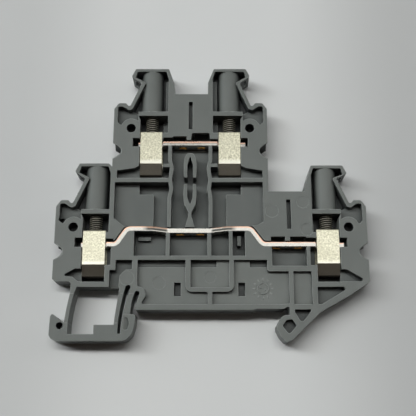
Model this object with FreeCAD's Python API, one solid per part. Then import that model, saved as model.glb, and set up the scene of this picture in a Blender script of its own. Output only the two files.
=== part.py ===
import FreeCAD, Part
import math
import os

# Two-level screw terminal block for a 35 mm rail, in millimetres.
# X runs along the block, Y along the rail, Z away from the rail.
# The origin lies on the rail seat, at the middle of the rail and of the block's width.

os.makedirs("parts", exist_ok=True)
V = FreeCAD.Vector

# ---- Driving dimensions ----------------------------------------------------------------
pitch = 5.2            # width of one block along the rail
rail_width = 35.0      # the rail that the feet grip
preload = 0.25         # how much narrower each side of the relaxed foot is than the rail
flange_gap = 1.1       # height of the slot that takes the rail's flange

lower_centre = 0.2     # middle of the lower level
lower_reach = 26.1     # lower clamps from that middle
upper_centre = -4.55   # middle of the upper level
upper_reach = 9.06     # upper clamps from that middle
lower_ceiling = 21.65  # underside of the web over a lower clamp, above the rail seat
tier_rise = 23.73      # the upper level above the lower one
horn_height = 12.0     # web underside to the top of a screwdriver tower
web = 1.07             # thickness of the web under a screw head
skin = 0.85            # usual wall of the moulding
top_skin = 0.7         # wall over the hollow of a tower

shallow = 1.1          # depths of the moulding's floors below its open side
groove = 1.45
middle = 1.9
deep = 3.5

screw_d = 3.0          # clamp screw, M3
head_d = 3.8
head_height = 2.0
slot_width = 0.6
slot_depth = 0.9
tube_od = 5.16         # screwdriver guide tube, almost as wide as the block
head_clearance = 0.15  # radial, head in its tube
shank_clearance = 0.15 # radial, shank in the web
thread_clearance = 0.06

cage_width = 5.0       # clamp cage, along X
cage_depth = 4.2       # along Y
cage_face = 7.85       # upright part of its front
cage_taper = 2.6       # height of its tapered foot
cage_taper_in = 1.1    # how far the foot draws in on each side
cage_wall = 0.5
cage_top = 1.8         # thickness of the tapped plate
side_clearance = 0.13  # between a cage and its chamber
back_clearance = 0.1   # behind it
hook_clearance = 0.3   # between an upper cage and the rib that points at it

bar_thickness = 1.1    # tinned copper current bars
bar_width = 3.0
bar_front = 0.55       # depth of a bar's front edge below the open side
bar_clearance = 0.1
tongue_gap = 0.4       # between a bar and the inner face of a cage's front
left_tip = 3.1         # a bar's left tip beyond the middle of its cage
right_tip = 3.75       # and its right tip
tip_slot = 4.25        # end of the slot that a tip lies in
bridge_hole = 1.7      # window in a bar for a plug-in bridge, along X
bridge_hole_y = 1.2

wire_axis = -8.7       # height of the wire entry from the web's underside
wire_bore = 2.4        # diameter of its inner stretch
side_edge = 8.8        # middle of a clamp to the block's edge
socket_d = 2.15        # sockets for the pegs of an end cover
socket_depth = 3.0
leg_root = 3.6         # height where the sprung legs leave the housing
leg_end = -2.8         # and where the outer two meet the foot
hook_leg_end = -0.9

# ---- Values that follow ----------------------------------------------------------------
front = -pitch / 2
back = pitch / 2
over = 1.0
upper_ceiling = lower_ceiling + tier_rise
chamber_depth = pitch / 2 + cage_depth / 2 + back_clearance
tongue_inset = pitch / 2 - cage_depth / 2 + cage_wall + tongue_gap - bar_front
cage_height = cage_face + cage_taper
half_room = cage_width / 2 + side_clearance
bar_low_z = lower_ceiling - 6.9
bar_high_z = upper_ceiling - 6.68
bar_crest_z = bar_low_z + 3.6
bar_dip_z = bar_low_z + 3.1
upper_floor = upper_ceiling - 15.25
lower_floor = lower_ceiling - 15.45
fixed_edge = rail_width / 2 - preload - 0.05
hook_edge = -(rail_width / 2 - preload) - 0.05
shelf_low = lower_ceiling + 5.25
shelf_high = upper_ceiling + 5.5
divider_top = lower_ceiling - 9.65
divider_bottom = lower_ceiling - 10.6


class Clamp:
    """One clamping point. Its own points are (outward from the cage, up from the web)."""

    def __init__(self, name, centre, side, ceiling, drop, inner, inner_low, horn, dimple):
        self.name = name
        self.centre = centre
        self.side = side
        self.ceiling = ceiling
        self.drop = drop            # cage top below the web, as stored
        self.inner = inner          # inner wall of the room above the bar
        self.inner_low = inner_low  # inner wall of the room below the bar
        self.horn = horn
        self.dimple = dimple

    def x(self, outward):
        return self.centre + self.side * outward

    def z(self, up):
        return self.ceiling + up

    def at(self, points):
        return [(self.x(p[0]), self.z(p[1])) + tuple(p[2:]) for p in points]

    def floor(self):
        return (upper_floor if self.ceiling == upper_ceiling else lower_floor) - self.ceiling


upper_left = Clamp("upper_left", upper_centre - upper_reach, -1, upper_ceiling,
                   3.73, 3.85, 3.85, horn_height, True)
upper_right = Clamp("upper_right", upper_centre + upper_reach, 1, upper_ceiling,
                    3.78, 3.85, 3.85, horn_height, True)
lower_left = Clamp("lower_left", lower_centre - lower_reach, -1, lower_ceiling,
                   3.67, 3.25, 3.88, horn_height - 0.05, False)
lower_right = Clamp("lower_right", lower_centre + lower_reach, 1, lower_ceiling,
                    3.42, 3.35, 4.1, horn_height - 0.55, False)
clamps = [upper_left, upper_right, lower_left, lower_right]


# ---- Drawing helpers -------------------------------------------------------------------
def corner(points, index, y):
    """Start, middle and end of the rounded corner at one point of an outline."""
    point = points[index]
    here = V(point[0], y, point[1])
    radius = point[2] if len(point) > 2 else 0
    if radius == 0:
        return here, here, here
    before = points[index - 1]
    after = points[(index + 1) % len(points)]
    inward = V(before[0], y, before[1]) - here
    outward = V(after[0], y, after[1]) - here
    room = min(side.Length * (0.49 if len(beyond) > 2 else 0.95)
               for side, beyond in ((inward, before), (outward, after)))
    half = inward.getAngle(outward) / 2
    reach = min(radius / math.tan(half), room)
    radius = reach * math.tan(half)
    inward.normalize()
    outward.normalize()
    bisector = (inward + outward).normalize()
    middle_point = here + bisector * (radius / math.sin(half) - radius)
    return here + inward * reach, middle_point, here + outward * reach


def outline(points, y):
    """Closed wire in a plane of constant Y; a third number rounds a corner."""
    corners = [corner(points, i, y) for i in range(len(points))]
    edges = []
    for i, (start, bend, end) in enumerate(corners):
        if (end - start).Length > 1e-6:
            edges.append(Part.Arc(start, bend, end).toShape())
        following = corners[(i + 1) % len(corners)][0]
        if (following - end).Length > 1e-6:
            edges.append(Part.LineSegment(end, following).toShape())
    return Part.Wire(edges)


def slab(points, near, far):
    """The outline as a plate from one Y to another."""
    return Part.Face(outline(points, near)).extrude(V(0, far - near, 0))


def pocket(points, depth):
    """A recess cut from the open side down to a depth."""
    return slab(points, front - over, front + depth)


def rib(points, depth=deep):
    """A wall that stands on the floor at a depth and reaches the open side."""
    return slab(points, front, front + depth)


def box(x0, x1, z0, z1):
    return [(x0, z0), (x1, z0), (x1, z1), (x0, z1)]


def block(x0, x1, y0, y1, z0, z1):
    return Part.makeBox(x1 - x0, y1 - y0, z1 - z0, V(x0, y0, z0))


def disc(x, z, diameter, near, far):
    """A round bar along Y."""
    return Part.makeCylinder(diameter / 2, far - near, V(x, near, z), V(0, 1, 0))


def post(x, diameter, low, high):
    """A round bar along Z, at the middle of the block's width."""
    return Part.makeCylinder(diameter / 2, high - low, V(x, 0, low), V(0, 0, 1))


def strip(path, thickness):
    """Outline of a bent strip whose middle line is the path."""
    above, below = [], []
    for i, point in enumerate(path):
        here = V(point[0], point[1], 0)
        sides = []
        for a, b in ((i - 1, i), (i, i + 1)):
            if 0 <= a and b < len(path):
                run = V(path[b][0] - path[a][0], path[b][1] - path[a][1], 0).normalize()
                sides.append(V(-run.y, run.x, 0))
        normal = (sides[0] + sides[-1]).normalize()
        reach = normal * (thickness / 2 / normal.dot(sides[0]))
        radius = point[2] if len(point) > 2 else 0
        turn = sides[0].cross(sides[-1]).z if len(sides) == 2 else 0
        grow = thickness / 2 * (1 if turn < 0 else -1) if radius else 0
        above.append((here.x + reach.x, here.y + reach.y, radius + grow))
        below.append((here.x - reach.x, here.y - reach.y, radius - grow))
    return above + below[::-1]


def mirrored(points, about):
    return [(2 * about - p[0],) + tuple(p[1:]) for p in points]


def moved(points, dx):
    return [(p[0] + dx,) + tuple(p[1:]) for p in points]


# ---- Current bars ----------------------------------------------------------------------
def lower_path():
    """The lower bar rises over the middle of the block and dips under the bridge shaft."""
    left, right = lower_left.x(left_tip), lower_right.x(right_tip)
    dip_left, dip_right = upper_centre - 4.6, upper_centre + 4.5
    return [(left, bar_low_z), (-21.0, bar_low_z, 1.3), (-18.6, bar_crest_z, 1.5),
            (dip_left - 3.9, bar_crest_z, 3.0), (dip_left, bar_dip_z, 3.0),
            (dip_right, bar_dip_z, 3.0), (dip_right + 3.9, bar_crest_z, 3.0),
            (9.1, bar_crest_z, 1.5), (11.75, bar_low_z, 1.5), (right, bar_low_z)]


def upper_path():
    return [(upper_left.x(left_tip), bar_high_z), (upper_right.x(right_tip), bar_high_z)]


bridge_low = [upper_centre - 2.2, upper_centre + 2.3]
bridge_right = [14.95, 19.85]
bridge_high = [upper_centre - 1.75, upper_centre + 2.5]


def current_bar(path, left, right, holes):
    """A punched strip, narrower where it enters the cages, with windows for bridges."""
    near = front + bar_front
    bar = slab(strip(path, bar_thickness), near, near + bar_width)
    cuts = []
    for clamp in (left, right):
        inside = clamp.x(-half_room - 0.15)
        outside = clamp.x(tip_slot + 1)
        middle_z = path[0][1]
        cuts.append(block(min(inside, outside), max(inside, outside), near - over,
                          near + tongue_inset, middle_z - over, middle_z + over))
    for x, z in holes:
        y = near + bar_width - 0.6 - bridge_hole_y
        cuts.append(block(x - bridge_hole / 2, x + bridge_hole / 2, y, y + bridge_hole_y,
                          z - over, z + over))
    return bar.cut(cuts)


# ---- Housing: outline ------------------------------------------------------------------
def tower(clamp):
    """Outer side of a tower: its top, marker notch, groove and shoulder, then the edge."""
    top = clamp.horn
    return clamp.at([(3.95, top, 0.4), (4.95, top - 2.0, 0.45), (2.5, 8.3, 0.35),
                     (5.2, 2.15, 0.45), (6.1, 3.2, 0.35), (7.75, 3.2, 0.8),
                     (side_edge, 1.7, 0.6)])


def sprung_side():
    """The lower left of the housing, round the tops of the foot's slots and window."""
    h = hook_edge
    return [(h + 1.0, 0, 0.3), (h + 1.0, 0.45), (h + 1.3, 1.7, 2), (h + 1.9, leg_root),
            (h + 1.95, 4.17, 0.52), (h + 0.87, 4.17, 0.52), (h + 0.8, leg_root),
            (h - 0.57, leg_root), (h + 0.05, 5.45, 0.52), (h - 1.1, 5.45, 0.52),
            (h - 1.6, leg_root), (h - 2.65, leg_root), (h - 2.55, 5.0),
            (h - 11.9, 5.05, 0.3), (h - 12.4, leg_root), (h - 13.3, leg_root),
            (h - 13.2, lower_floor + 0.05, 0.7),
            (lower_left.x(side_edge - 0.75), lower_floor + 0.05, 0.3),
            (lower_left.x(side_edge), lower_floor + 0.55, 0.3)]


def fixed_foot():
    """The lower right of the housing, down round the fixed foot to the rail seat."""
    f = fixed_edge
    return [(lower_right.x(side_edge - 0.05), 6.15, 1.2), (f + 13.2, 3.1), (f + 6.8, -0.45),
            (f + 0.75, -6.3, 1.2), (f - 0.8, -7.05, 0.8), (f - 2.0, -5.7, 1.5),
            (f - 3.0, -3.7, 1.4), (f - 1.7, -flange_gap - 0.3, 0.8),
            (f - 0.9, -flange_gap), (f, -flange_gap), (f, 0.62, 0.15), (f - 0.5, 0.62, 0.1),
            (f - 1.2, 0.2), (f - 7.2, 0.25), (f - 7.9, 0)]


def housing_outline():
    points = sprung_side() + tower(lower_left)[::-1]
    points += [(lower_left.x(-2.75), lower_left.z(lower_left.horn), 0.4),
               (upper_left.x(side_edge), lower_left.z(lower_left.horn - 0.75))]
    points += tower(upper_left)[::-1]
    points += upper_left.at([(-3.9, horn_height, 0.4), (-5.2, 8.2, 0.6), (-5.4, 6.5, 1),
                             (-5.4, 5.5)])
    points += upper_right.at([(-5.0, 5.5), (-5.0, 8.3, 0.6), (-3.6, horn_height, 0.3)])
    points += tower(upper_right)
    points += [(upper_right.x(side_edge - 0.1), shelf_low), (lower_right.x(-4.95), shelf_low)]
    points += lower_right.at([(-4.8, 6.7, 1.5), (-3.25, lower_right.horn, 0.25)])
    points += tower(lower_right)
    return points + fixed_foot()


# ---- Housing: what each clamp needs ----------------------------------------------------
def clamp_rooms(clamp):
    """The cage's chamber, the rooms beside it and the slot for the bar's tip."""
    floor = clamp.floor()
    inner, low = clamp.inner, clamp.inner_low
    low_floor = floor if low == inner else -11.75
    cuts = [pocket(clamp.at([(3.05, 0), (half_room, -1.0), (half_room, floor),
                             (-half_room, floor), (-half_room, 0)]), chamber_depth)]
    cuts.append(pocket(clamp.at([(-half_room + 0.01, 0), (-inner, 0), (-inner, -4.25),
                                 (-half_room + 0.01, -4.25)]), deep))
    cuts.append(pocket(clamp.at([(-half_room + 0.01, -7.0), (-low, -7.0), (-low, low_floor),
                                 (-half_room + 0.01, low_floor)]), deep))
    cuts.append(pocket(clamp.at([(half_room - 0.01, -5.55), (tip_slot, -5.55),
                                 (tip_slot, -7.65), (half_room - 0.01, -7.65)]),
                       bar_front + bar_width + bar_clearance))
    return cuts


def boss(clamp):
    x, z = clamp.x(4.7), clamp.z(-3.1)
    return disc(x, z, 4.8, front - over, back)


def tower_cavity(clamp):
    """The hollow round the guide tube, and the shallower one under the shoulder."""
    top = clamp.horn - top_skin
    inner = clamp.inner
    hollow = clamp.at([(-inner, web), (-inner, clamp.horn - 2.4), (-inner + 0.55, top, 0.2),
                       (3.55, top, 0.3), (3.98, clamp.horn - 2.2, 0.25), (1.5, 8.45, 0.5),
                       (4.5, 1.75), (3.2, web)])
    shoulder = clamp.at([(3.1, web + 0.02), (4.5, 1.77), (5.3, 1.4, 0.4), (6.9, 2.4, 0.4),
                         (7.93, 2.3, 0.4), (7.93, -1.5, 0.6), (7.2, -2.3, 0.4), (3.1, -1.6)])
    return [pocket(hollow, deep), pocket(shoulder, middle).cut(boss(clamp))]


def tube_sill(clamp):
    """A step along the inner wall of an upper tower, beside its guide tube."""
    wide = 0.65 if clamp.side < 0 else 1.0
    return slab(clamp.at([(-clamp.inner - 0.1, web), (-clamp.inner + wide, web),
                          (-clamp.inner + wide, 9.5), (-clamp.inner - 0.1, 9.5)]),
                front + middle, front + deep + 0.1)


def notch_window(clamp):
    """Behind its front edge the marker notch is open into the tower."""
    shape = clamp.at([(1.1, 9.6), (3.1, 10.3), (4.1, 10.3), (4.1, 9.2), (3.0, 8.2),
                      (2.7, 6.9), (1.1, 6.9)])
    return slab(shape, front + 0.9, front + deep)


def guide_tube(clamp):
    return post(clamp.x(0), tube_od, clamp.z(web - 0.1), clamp.z(clamp.horn - 0.1))


def screw_way(clamp):
    """Bore of the guide tube, and the hole for the shank in the web."""
    x = clamp.x(0)
    wide = post(x, head_d + 2 * head_clearance, clamp.z(web), clamp.z(clamp.horn + over))
    return [wide, post(x, screw_d + 2 * shank_clearance, clamp.z(-over), clamp.z(web + over))]


def wire_entry(clamp):
    """A funnel in two steps, wider than the block at its mouth, then a short bore."""
    direction = V(-clamp.side, 0, 0)
    z = clamp.z(wire_axis)
    mouth, throat, inner_end = side_edge, 6.9, 4.7
    mouth_r = 3.2
    throat_r = pitch / 2
    slope = (mouth_r - throat_r) / (mouth - throat)
    outer = Part.makeCone(mouth_r + slope, throat_r, mouth + 1 - throat,
                          V(clamp.x(mouth + 1), 0, z), direction)
    inner = Part.makeCone(throat_r, wire_bore / 2, throat - inner_end,
                          V(clamp.x(throat), 0, z), direction)
    bore = Part.makeCylinder(wire_bore / 2, inner_end - half_room + 0.5,
                             V(clamp.x(inner_end), 0, z), direction)
    return [outer, inner, bore]


def peg_socket(clamp):
    return disc(clamp.x(4.7), clamp.z(-3.1), socket_d, front - over, front + socket_depth)


# ---- Housing: the middle ---------------------------------------------------------------
def wavy_wall():
    """Left wall of the bridge shaft: it steps in twice where the clips sit."""
    x = upper_centre - 4.65
    top = bar_high_z
    u = upper_floor
    bar_top = bar_dip_z + bar_thickness / 2
    middle_line = [(x, top), (x, u + 4.3, 1), (x + 0.48, u + 2.5, 1.5), (x + 0.1, u - 0.5, 1.5),
                   (x + 0.4, u - 2.6, 1.5), (x, u - 4.8, 1.5), (x, bar_top)]
    return strip(middle_line, skin)


def clip_eyes():
    """Two springy eyes on the shaft's middle line, one above the other."""
    u = upper_floor + 0.07
    low = bar_dip_z + bar_thickness / 2 + 0.1
    upper = [(-1.4, u), (-1.5, u + 3.0, 1.5), (-1.25, u + 4.8, 1.2), (-0.7, u + 5.95, 0.7),
             (0.7, u + 5.95, 0.7), (1.25, u + 4.8, 1.2), (1.5, u + 3.0, 1.5), (1.4, u),
             (0.65, u), (0.62, u + 3.1, 1.5), (0.12, u + 4.9, 0.1), (-0.12, u + 4.9, 0.1),
             (-0.62, u + 3.1, 1.5), (-0.65, u)]
    lower = [(-1.35, u - 1.6), (-1.5, u - 4.1, 1.5), (-1.3, u - 6.4, 1), (-0.36, u - 8.2, 0.4),
             (-0.36, u - 9.2, 0.4), (-1.1, low), (1.1, low), (0.36, u - 9.2, 0.4),
             (0.36, u - 8.2, 0.4), (1.3, u - 6.4, 1), (1.5, u - 4.1, 1.5), (1.35, u - 1.6),
             (0.65, u - 1.6), (0.6, u - 4.6, 1), (0.12, u - 6.2, 0.1), (-0.12, u - 6.2, 0.1),
             (-0.6, u - 4.6, 1), (-0.65, u - 1.6)]
    return [rib(moved(upper, upper_centre)), rib(moved(lower, upper_centre))]


def middle_ribs():
    wall = wavy_wall()
    u = upper_floor
    shaft = upper_centre - 4.65
    web_end = box(upper_left.x(-3.4), shaft, u - 1.03, u)
    hook_tip = upper_left.x(-cage_width / 2 - hook_clearance)
    hook = box(hook_tip, shaft + 0.4, u + 2.6, u + 3.4)
    solids = []
    for shape in (wall, web_end, hook):
        solids += [rib(shape), rib(mirrored(shape, upper_centre))]
    return solids + clip_eyes()


def upper_bay():
    """The hollow between the upper clamps and the floors under their chambers."""
    u = upper_floor - 1.03
    half = upper_reach - 3.85
    bar_top = bar_dip_z + bar_thickness / 2
    cuts = [pocket(box(upper_centre - half, upper_centre + half, bar_top, bar_high_z), deep)]
    left_wall = upper_left.x(side_edge - 0.75)
    left = [(left_wall, u), (upper_centre - 5, u), (upper_centre - 5, bar_crest_z),
            (left_wall + 2.35, bar_crest_z + 0.4), (left_wall, bar_crest_z + 2.35)]
    right_wall = upper_right.x(side_edge - 1.3)
    right = [(right_wall, u), (upper_centre + 5, u), (upper_centre + 5, bar_crest_z),
             (right_wall - 1.6, bar_crest_z + 0.6), (right_wall, bar_crest_z + 1.5)]
    cuts += [pocket(left, middle), pocket(right, middle)]
    cuts.append(pocket(box(upper_centre - 11.6, upper_centre + 11.6, u - 2.4, u), deep))
    cuts.append(pocket(box(upper_centre - 8.25, upper_centre + 8.25, bar_crest_z, u - 2.3), deep))
    for clamp, wall in ((upper_left, 7.65), (upper_right, 7.5)):
        cuts.append(pocket(clamp.at([(half_room - 0.01, -12.3), (3.7, -12.9), (wall, -13.5),
                                     (wall, -15.25), (half_room - 0.01, -15.25)]), middle))
    return cuts


def marker_shafts():
    """Shafts for plug-in bridges, open at the top and over the bars."""
    cuts = []
    near, far = front + skin, front + bar_front + bar_width
    c = upper_centre
    high = [(c - 3.9, c - 1.1), (c + 0.85, c + 4.2)]
    low = [(13.7, 16.6), (18.6, 21.3)]
    for spans, shelf, bar_z in ((high, shelf_high, bar_high_z), (low, shelf_low, bar_low_z)):
        for x0, x1 in spans:
            cuts.append(block(x0, x1, near, far, bar_z, shelf + over))
    bar_top = bar_high_z + bar_thickness / 2 - 0.2
    cuts.append(pocket(box(c - 4.05, c - 0.85, bar_top, bar_top + 1.2), deep))
    cuts.append(pocket([(c + 0.1, bar_top), (c + 0.4, bar_top + 2.0, 0.3),
                        (c + 4.4, bar_top + 2.0, 0.3), (c + 4.65, bar_top)], deep))
    cuts.append(pocket(box(c - 6.3, c - 4.0, bar_top, bar_top + 0.9), deep))
    cuts.append(pocket(box(c + 4.6, c + 6.4, bar_top, bar_top + 0.55), deep))
    bar_top = bar_low_z + bar_thickness / 2 - 0.1
    cuts += [pocket(box(13.55, 16.7, bar_top, bar_top + 1.15), deep),
             pocket(box(17.8, 21.45, bar_top, bar_top + 1.15), deep),
             pocket(box(21.4, 23.7, bar_top, bar_top + 0.9), deep),
             pocket(box(-23.3, -21.5, bar_top, bar_top + 0.7), deep)]
    cuts.append(pocket(box(c - 0.4, c + 0.5, upper_ceiling - 3.4, upper_ceiling + 3.5), groove))
    cuts.append(pocket(box(17.2, 18.15, lower_ceiling - 3.5, lower_ceiling + 3.3), groove))
    return cuts


def below_bar():
    """The row of chambers between the lower bar and the long divider."""
    z0 = divider_top
    z1 = bar_crest_z - bar_thickness / 2 - 0.2
    c = upper_centre
    bays = [(c - 12.4, c - 5.3), (c - 4.4, c + 3.95), (c + 4.8, c + 8.75), (c + 9.55, c + 12.3)]
    cuts = [pocket(box(x0, x1, z0, z1), deep) for x0, x1 in bays]
    cuts.append(pocket(box(13.7, 21.4, divider_top - 2.25, bar_low_z), deep))
    return cuts


def small_ribs():
    d = divider_top
    return [slab(box(-16.2, -13.4, d + 3.95, d + 4.7), front + 2.4, front + deep),
            slab(box(6.1, 6.9, d + 2.6, d + 4.8), front + 1.5, front + deep)]


def lower_pockets():
    """Shallow recesses that core the thick lower body."""
    d = divider_bottom
    h, f = hook_edge, fixed_edge
    beside_slot = [(h + 3.2, 3.6, 0.6), (h + 2.75, 4.8, 0.6), (h + 1.35, 5.2, 0.4)]
    left = [(h + 1.3, d), (-5.45, d), (-5.45, 5.2), (-5.1, 4.3), (-4.3, 3.95), (-0.55, 3.95, 0.3),
            (-0.5, 1.25), (h + 2.5, 1.25, 0.2), (h + 2.4, 1.75), (h + 3.2, 3.0)] + beside_slot
    right = [(5.25, d), (12.6, d), (12.6, 8.5, 0.4), (f + 0.1, 8.5, 0.2), (f + 0.1, 1.4, 0.3),
             (f - 1.6, 1.25), (0.5, 1.25), (0.5, 3.95, 0.3), (4.0, 3.95), (4.85, 4.4),
             (5.25, 5.2)]
    shapes = [left, right, box(-4.3, 4.2, 4.95, d), box(f + 1.1, f + 5.1, 1.25, 8.5)]
    cuts = [pocket(shape, shallow) for shape in shapes]
    for x0, x1 in ((h + 1.3, -5.45), (-4.3, 1.4), (8.8, 12.6)):
        cuts.append(pocket(box(x0, x1, d - 1.45, d), middle))
    cuts.append(pocket([(-20.85, d), (-17.2, d), (-17.2, 8.9, 0.3), (-18.6, 8.9, 0.5),
                        (-19.9, 7.6, 0.6), (-20.1, 4.5), (-22.15, 4.5), (-22.15, 8.75),
                        (-20.85, 8.75)], middle))
    for x in (-7.2, 6.95):
        cuts.append(pocket(box(x - 0.75, x + 0.75, 3.15, 6.15), 2.7))
    return cuts


def foot_pockets():
    """Recesses in the fixed foot and beside the lower chambers."""
    f = fixed_edge
    cuts = [pocket([(f + 6.3, 5.05), (f + 12.1, 5.05, 0.3), (f + 12.4, 4.4, 0.3),
                    (f + 7.1, 1.25, 0.2), (f + 6.3, 1.25)], middle),
            pocket([(f + 1.15, 0.1, 0.1), (f + 4.7, 0.1, 0.15), (f + 4.6, -0.4),
                    (f + 3.0, -2.4, 0.2), (f + 2.3, -2.4, 0.2), (f + 1.15, -0.4)], middle),
            pocket([(f - 1.6, -3.4, 0.5), (f - 0.7, -2.2, 0.5), (f + 0.5, -2.0, 0.5),
                    (f + 1.5, -3.4, 0.5), (f - 0.2, -5.3, 0.5)], middle)]
    cuts.append(pocket(lower_left.at([(2.6, -12.55), (3.9, -12.55), (6.05, -13.75, 0.1),
                                      (6.1, -14.2, 0.1), (4.4, -14.35), (3.1, -15.4),
                                      (2.6, -15.4)]), middle))
    cuts.append(pocket(lower_right.at([(2.6, -12.7), (3.8, -12.7), (7.2, -14.75, 0.2),
                                       (7.1, -15.4, 0.2), (2.6, -15.4)]), middle))
    return cuts


def mould_marks():
    """Round ejector marks, a few hundredths deep, on the open side and on the back."""
    depth = 0.05
    open_side = [(-11.3, 6.1, 2.9, shallow), (0.0, 7.4, 2.6, shallow), (13.9, 22.3, 3.0, 0),
                 (20.9, 24.4, 2.8, 0), (21.7, 18.0, 2.8, 0), (-18.3, 7.0, 3.2, 0)]
    cuts = [disc(x, z, d, front + level - 0.01, front + level + depth)
            for x, z, d, level in open_side]
    closed_side = [(-13.6, 48.5), (4.5, 48.5), (-29.0, 20.0), (29.0, 20.0), (-4.5, 24.0),
                   (-9.0, 6.0), (12.0, 6.0), (20.0, -1.0)]
    cuts += [disc(x, z, 3.0, back - depth, back + 0.01) for x, z in closed_side]
    return cuts


def housing():
    body = slab(housing_outline(), front, back)
    cuts = upper_bay() + marker_shafts() + below_bar() + lower_pockets() + foot_pockets()
    for clamp in clamps:
        cuts += clamp_rooms(clamp) + tower_cavity(clamp)
        cuts.append(notch_window(clamp))
    body = body.cut(cuts)
    body = body.fuse(middle_ribs() + small_ribs() + [tube_sill(upper_left), tube_sill(upper_right)]
                     + [guide_tube(clamp) for clamp in clamps])
    bar_depth = bar_front + bar_width + bar_clearance
    wide = bar_thickness + 2 * bar_clearance
    cuts = [pocket(strip(lower_path(), wide), bar_depth),
            pocket(strip(upper_path(), wide), bar_depth)]
    cuts += mould_marks()
    for clamp in clamps:
        cuts += screw_way(clamp) + wire_entry(clamp)
        cuts.append(peg_socket(clamp))
    cuts.append(disc(lower_left.x(7.5), lower_left.z(-1.25), 1.2, front - over, front + deep))
    return body.cut(cuts).removeSplitter()


# ---- Sprung foot -----------------------------------------------------------------------
# The legs bend, so each is a node of its own between the housing and the foot.
def leg_edges(dx_top, dx_mid, dx_low, end):
    middle_z = (leg_root + end) / 2
    return [V(hook_edge + dx_top, front, leg_root), V(hook_edge + dx_mid, front, middle_z),
            V(hook_edge + dx_low, front, end)]


def leg(left, right):
    """A curved leaf between two arcs, each given by its three points."""
    edges = [Part.Arc(*left).toShape(), Part.LineSegment(left[2], right[2]).toShape(),
             Part.Arc(right[2], right[1], right[0]).toShape(),
             Part.LineSegment(right[0], left[0]).toShape()]
    return Part.Face(Part.Wire(edges)).extrude(V(0, pitch, 0))


def outer_leg():
    return leg(leg_edges(-13.3, -13.87, -14.3, leg_end), leg_edges(-12.4, -13.05, -13.45, leg_end))


def middle_leg():
    return leg(leg_edges(-2.65, -3.13, -3.5, leg_end), leg_edges(-1.6, -2.2, -2.63, leg_end))


def hook_leg():
    return leg(leg_edges(-0.57, -1.17, -1.65, hook_leg_end),
               leg_edges(0.8, 0.17, 0.03, hook_leg_end))


def rail_foot():
    """Hook, floor bar and release lug: the rigid part of the sprung foot."""
    h = hook_edge
    shape = [(h + 0.03, hook_leg_end), (h + 1.1, hook_leg_end - 0.1, 0.1), (h + 0.95, -3.2, 3),
             (h + 0.4, -5.2, 2), (h - 0.8, -6.4, 1.2), (h - 1.8, -6.68, 1),
             (h - 15.9, -6.68, 0.4), (h - 17.0, -6.2, 0.6), (h - 17.45, -5.4, 0.6),
             (h - 17.35, -1.4, 0.4), (h - 17.05, -0.9, 0.25), (h - 16.7, -0.95, 0.2),
             (h - 14.3, leg_end), (h - 13.45, leg_end), (h - 13.45, -5.2),
             (h - 7.85, -5.2), (h - 7.85, -3.2), (h - 3.53, -3.2), (h - 3.5, leg_end),
             (h - 2.63, leg_end), (h - 2.7, -5.1), (h - 2.02, -5.1), (h - 1.95, -3.4, 2),
             (h - 1.65, hook_leg_end)]
    foot = slab(shape, front, back)
    eye = disc(h - 15.2, -3.4, 1.5, front - over, back + over)
    ramp = Part.makePolygon([V(h - 1.5, front, -4.4), V(h + 0.1, front, -4.4),
                             V(h + 0.1, front + 0.75, -4.4), V(h - 1.5, front, -4.4)])
    grip = pocket([(h - 1.5, -1.6), (h - 0.6, -1.6, 0.5), (h - 0.15, -2.9, 1.5),
                   (h - 0.6, -4.3, 0.5), (h - 1.5, -4.3)], 0.8)
    grip = grip.common(Part.Face(ramp).extrude(V(0, 0, 3)))
    return foot.cut([eye, grip])


# ---- Clamps ----------------------------------------------------------------------------
def cage_section(height_above, wall, lift):
    """Points of the cage's end view, (y, z) from its middle and its top."""
    half = cage_depth / 2 - wall
    foot = half - cage_taper_in
    knee = -cage_face + lift * 0.3
    return [(-half, -height_above), (half, -height_above), (half, knee),
            (foot, -cage_height + lift), (-foot, -cage_height + lift), (-half, knee)]


def clamp_cage(clamp):
    """A folded steel sleeve: the bar and the wire pass through it along X."""
    top = clamp.z(-clamp.drop)
    left = clamp.x(0) - cage_width / 2

    def prism(points, start, length):
        corners = [V(start, y, top + z) for y, z in points]
        face = Part.Face(Part.makePolygon(corners + corners[:1]))
        return face.extrude(V(length, 0, 0))

    body = prism(cage_section(0, 0, 0), left, cage_width)
    edges = [e for e in body.Edges if abs(e.Vertexes[0].X - e.Vertexes[-1].X) > 1]
    body = body.makeFillet(0.25, edges)
    window = prism(cage_section(cage_top, cage_wall, cage_wall + 0.1), left - over,
                   cage_width + 2 * over)
    bore = post(clamp.x(0), screw_d + 2 * thread_clearance, top - cage_top - over, top + over)
    cage = body.cut([window, bore])
    if clamp.dimple:
        spot = disc(clamp.x(0), top - 6.6, 0.8, -cage_depth / 2 - over, -cage_depth / 2 + 0.2)
        cage = cage.cut(spot)
    return cage


def clamp_screw(clamp):
    """Slotted cheese-head screw: its head rests on the web, its tip is over the bar."""
    x = clamp.x(0)
    seat = clamp.z(web + 0.03)
    bar_z = bar_high_z if clamp.ceiling == upper_ceiling else bar_low_z
    tip = bar_z + bar_thickness / 2 + 0.1
    head = post(x, head_d, seat, seat + head_height)
    rim = [e for e in head.Edges if e.BoundBox.ZMin > seat + head_height - 0.01]
    head = head.makeFillet(0.3, rim)
    slot = block(x - head_d, x + head_d, -slot_width / 2, slot_width / 2,
                 seat + head_height - slot_depth, seat + head_height + over)
    shank = post(x, screw_d, tip + 0.4, seat + 0.1)
    point = Part.makeCone(screw_d / 2 - 0.4, screw_d / 2, 0.4, V(x, 0, tip), V(0, 0, 1))
    return head.cut(slot).fuse([shank, point]).removeSplitter()


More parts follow.
